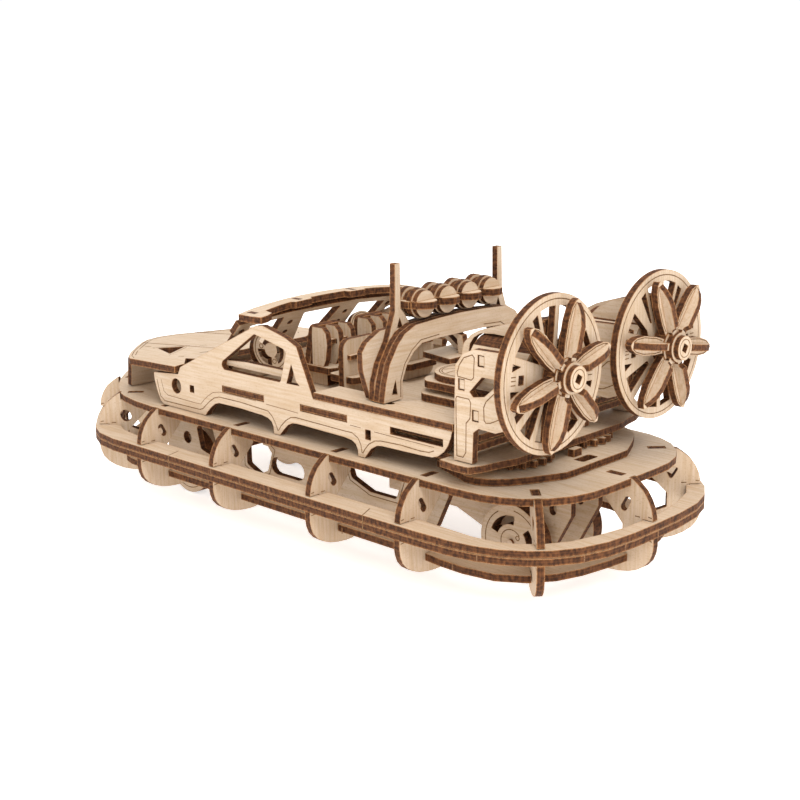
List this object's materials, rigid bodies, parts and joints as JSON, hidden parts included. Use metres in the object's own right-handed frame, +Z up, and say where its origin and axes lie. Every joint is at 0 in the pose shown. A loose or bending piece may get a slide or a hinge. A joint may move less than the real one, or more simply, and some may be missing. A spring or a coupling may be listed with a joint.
{
  "type": "plywood model hovercraft",
  "caption": "Laser-cut plywood model of a hovercraft: open cabin, roll arch with spot lamps, ring-guarded propellers, ribbed skirt and wheels under the deck.",
  "frame": {"origin": "middle of the footprint at floor level under the wheels", "axes": "+X towards the bow, +Y to port, +Z up"},
  "size_m": [0.3391, 0.1372, 0.1255],
  "materials": {
    "bonnet_centre": "raw birch plywood, burnt cut edges",
    "bonnet_left": "raw birch plywood, burnt cut edges",
    "bonnet_right": "raw birch plywood, burnt cut edges",
    "cabin_floor": "raw birch plywood, burnt cut edges",
    "cabin_side_left": "raw birch plywood, burnt cut edges",
    "cabin_side_right": "raw birch plywood, burnt cut edges",
    "chassis_wall_left": "raw birch plywood, burnt cut edges",
    "chassis_wall_right": "raw birch plywood, burnt cut edges",
    "dashboard": "raw birch plywood, burnt cut edges",
    "deck_plate": "raw birch plywood, burnt cut edges",
    "drive_gear_left": "raw birch plywood, burnt cut edges",
    "drive_gear_right": "raw birch plywood, burnt cut edges",
    "engine": "raw birch plywood, burnt cut edges",
    "front_axle_carrier": "raw birch plywood, burnt cut edges",
    "front_bulkhead": "raw birch plywood, burnt cut edges",
    "front_wheels": "raw birch plywood, burnt cut edges",
    "guard_left": "raw birch plywood, burnt cut edges",
    "guard_right": "raw birch plywood, burnt cut edges",
    "lamp_bar": "raw birch plywood, burnt cut edges",
    "platform_lower": "raw birch plywood, burnt cut edges",
    "platform_upper": "raw birch plywood, burnt cut edges",
    "pod_left_inner": "raw birch plywood, burnt cut edges",
    "pod_left_outer": "raw birch plywood, burnt cut edges",
    "pod_right_inner": "raw birch plywood, burnt cut edges",
    "pod_right_outer": "raw birch plywood, burnt cut edges",
    "propeller_left": "raw birch plywood, burnt cut edges",
    "propeller_right": "raw birch plywood, burnt cut edges",
    "rear_deck": "raw birch plywood, burnt cut edges",
    "rear_gearbox": "raw birch plywood, burnt cut edges",
    "rear_wheels": "raw birch plywood, burnt cut edges",
    "rib_bow_1_left": "raw birch plywood, burnt cut edges",
    "rib_bow_1_right": "raw birch plywood, burnt cut edges",
    "rib_bow_2_left": "raw birch plywood, burnt cut edges",
    "rib_bow_2_right": "raw birch plywood, burnt cut edges",
    "rib_quarter_left": "raw birch plywood, burnt cut edges",
    "rib_quarter_right": "raw birch plywood, burnt cut edges",
    "rib_side_1_left": "raw birch plywood, burnt cut edges",
    "rib_side_1_right": "raw birch plywood, burnt cut edges",
    "rib_side_2_left": "raw birch plywood, burnt cut edges",
    "rib_side_2_right": "raw birch plywood, burnt cut edges",
    "rib_side_3_left": "raw birch plywood, burnt cut edges",
    "rib_side_3_right": "raw birch plywood, burnt cut edges",
    "rib_side_4_left": "raw birch plywood, burnt cut edges",
    "rib_side_4_right": "raw birch plywood, burnt cut edges",
    "rib_stem": "raw birch plywood, burnt cut edges",
    "rib_stern": "raw birch plywood, burnt cut edges",
    "roll_arch": "raw birch plywood, burnt cut edges",
    "roll_arch_masts": "raw birch plywood, burnt cut edges",
    "roof_strip": "raw birch plywood, burnt cut edges",
    "seat_front_left": "raw birch plywood, burnt cut edges",
    "seat_front_right": "raw birch plywood, burnt cut edges",
    "seat_rear_left": "raw birch plywood, burnt cut edges",
    "seat_rear_right": "raw birch plywood, burnt cut edges",
    "skirt_ring_low": "raw birch plywood, burnt cut edges",
    "skirt_ring_lower": "raw birch plywood, burnt cut edges",
    "skirt_ring_upper": "raw birch plywood, burnt cut edges",
    "steering_wheel_left": "raw birch plywood, burnt cut edges",
    "steering_wheel_right": "raw birch plywood, burnt cut edges",
    "windscreen_frame": "raw birch plywood, burnt cut edges"
  },
  "bodies": {
    "hull": {"bonnet_centre": "bonnet_centre", "bonnet_left": "bonnet_left", "bonnet_right": "bonnet_right", "cabin_floor": "cabin_floor", "cabin_side_left": "cabin_side_left", "cabin_side_right": "cabin_side_right", "chassis_wall_left": "chassis_wall_left", "chassis_wall_right": "chassis_wall_right", "dashboard": "dashboard", "deck_plate": "deck_plate", "engine": "engine", "front_axle_carrier": "front_axle_carrier", "front_bulkhead": "front_bulkhead", "guard_left": "guard_left", "guard_right": "guard_right", "lamp_bar": "lamp_bar", "platform_lower": "platform_lower", "platform_upper": "platform_upper", "pod_left_inner": "pod_left_inner", "pod_left_outer": "pod_left_outer", "pod_right_inner": "pod_right_inner", "pod_right_outer": "pod_right_outer", "rear_deck": "rear_deck", "rear_gearbox": "rear_gearbox", "rib_bow_1_left": "rib_bow_1_left", "rib_bow_1_right": "rib_bow_1_right", "rib_bow_2_left": "rib_bow_2_left", "rib_bow_2_right": "rib_bow_2_right", "rib_quarter_left": "rib_quarter_left", "rib_quarter_right": "rib_quarter_right", "rib_side_1_left": "rib_side_1_left", "rib_side_1_right": "rib_side_1_right", "rib_side_2_left": "rib_side_2_left", "rib_side_2_right": "rib_side_2_right", "rib_side_3_left": "rib_side_3_left", "rib_side_3_right": "rib_side_3_right", "rib_side_4_left": "rib_side_4_left", "rib_side_4_right": "rib_side_4_right", "rib_stem": "rib_stem", "rib_stern": "rib_stern", "roll_arch": "roll_arch", "roll_arch_masts": "roll_arch_masts", "roof_strip": "roof_strip", "seat_front_left": "seat_front_left", "seat_front_right": "seat_front_right", "seat_rear_left": "seat_rear_left", "seat_rear_right": "seat_rear_right", "skirt_ring_low": "skirt_ring_low", "skirt_ring_lower": "skirt_ring_lower", "skirt_ring_upper": "skirt_ring_upper", "steering_wheel_left": "steering_wheel_left", "steering_wheel_right": "steering_wheel_right", "windscreen_frame": "windscreen_frame"},
    "propeller_left": {"propeller_left": "propeller_left"},
    "propeller_right": {"propeller_right": "propeller_right"},
    "front_wheels": {"front_wheels": "front_wheels"},
    "rear_wheels": {"rear_wheels": "rear_wheels"},
    "drive_gear_left": {"drive_gear_left": "drive_gear_left"},
    "drive_gear_right": {"drive_gear_right": "drive_gear_right"}
  },
  "joints": [
    {"name": "propeller_left_spin", "type": "hinge", "parent": "hull", "child": "propeller_left", "pos_m": [-0.1453, 0.0347, 0.0926], "axis": [1, 0, 0], "continuous": true},
    {"name": "propeller_right_spin", "type": "hinge", "parent": "hull", "child": "propeller_right", "pos_m": [-0.1453, -0.0347, 0.0926], "axis": [1, 0, 0], "continuous": true},
    {"name": "front_wheels_roll", "type": "hinge", "parent": "hull", "child": "front_wheels", "pos_m": [0.0782, 0, 0.016], "axis": [0, 1, 0], "continuous": true},
    {"name": "rear_wheels_roll", "type": "hinge", "parent": "hull", "child": "rear_wheels", "pos_m": [-0.1137, 0, 0.016], "axis": [0, 1, 0], "continuous": true},
    {"name": "drive_gear_left_turn", "type": "hinge", "parent": "hull", "child": "drive_gear_left", "pos_m": [-0.1118, 0.0195, 0.0513], "axis": [0, 0, 1], "continuous": true},
    {"name": "drive_gear_right_turn", "type": "hinge", "parent": "hull", "child": "drive_gear_right", "pos_m": [-0.1118, -0.0195, 0.0513], "axis": [0, 0, 1], "continuous": true}
  ]
}
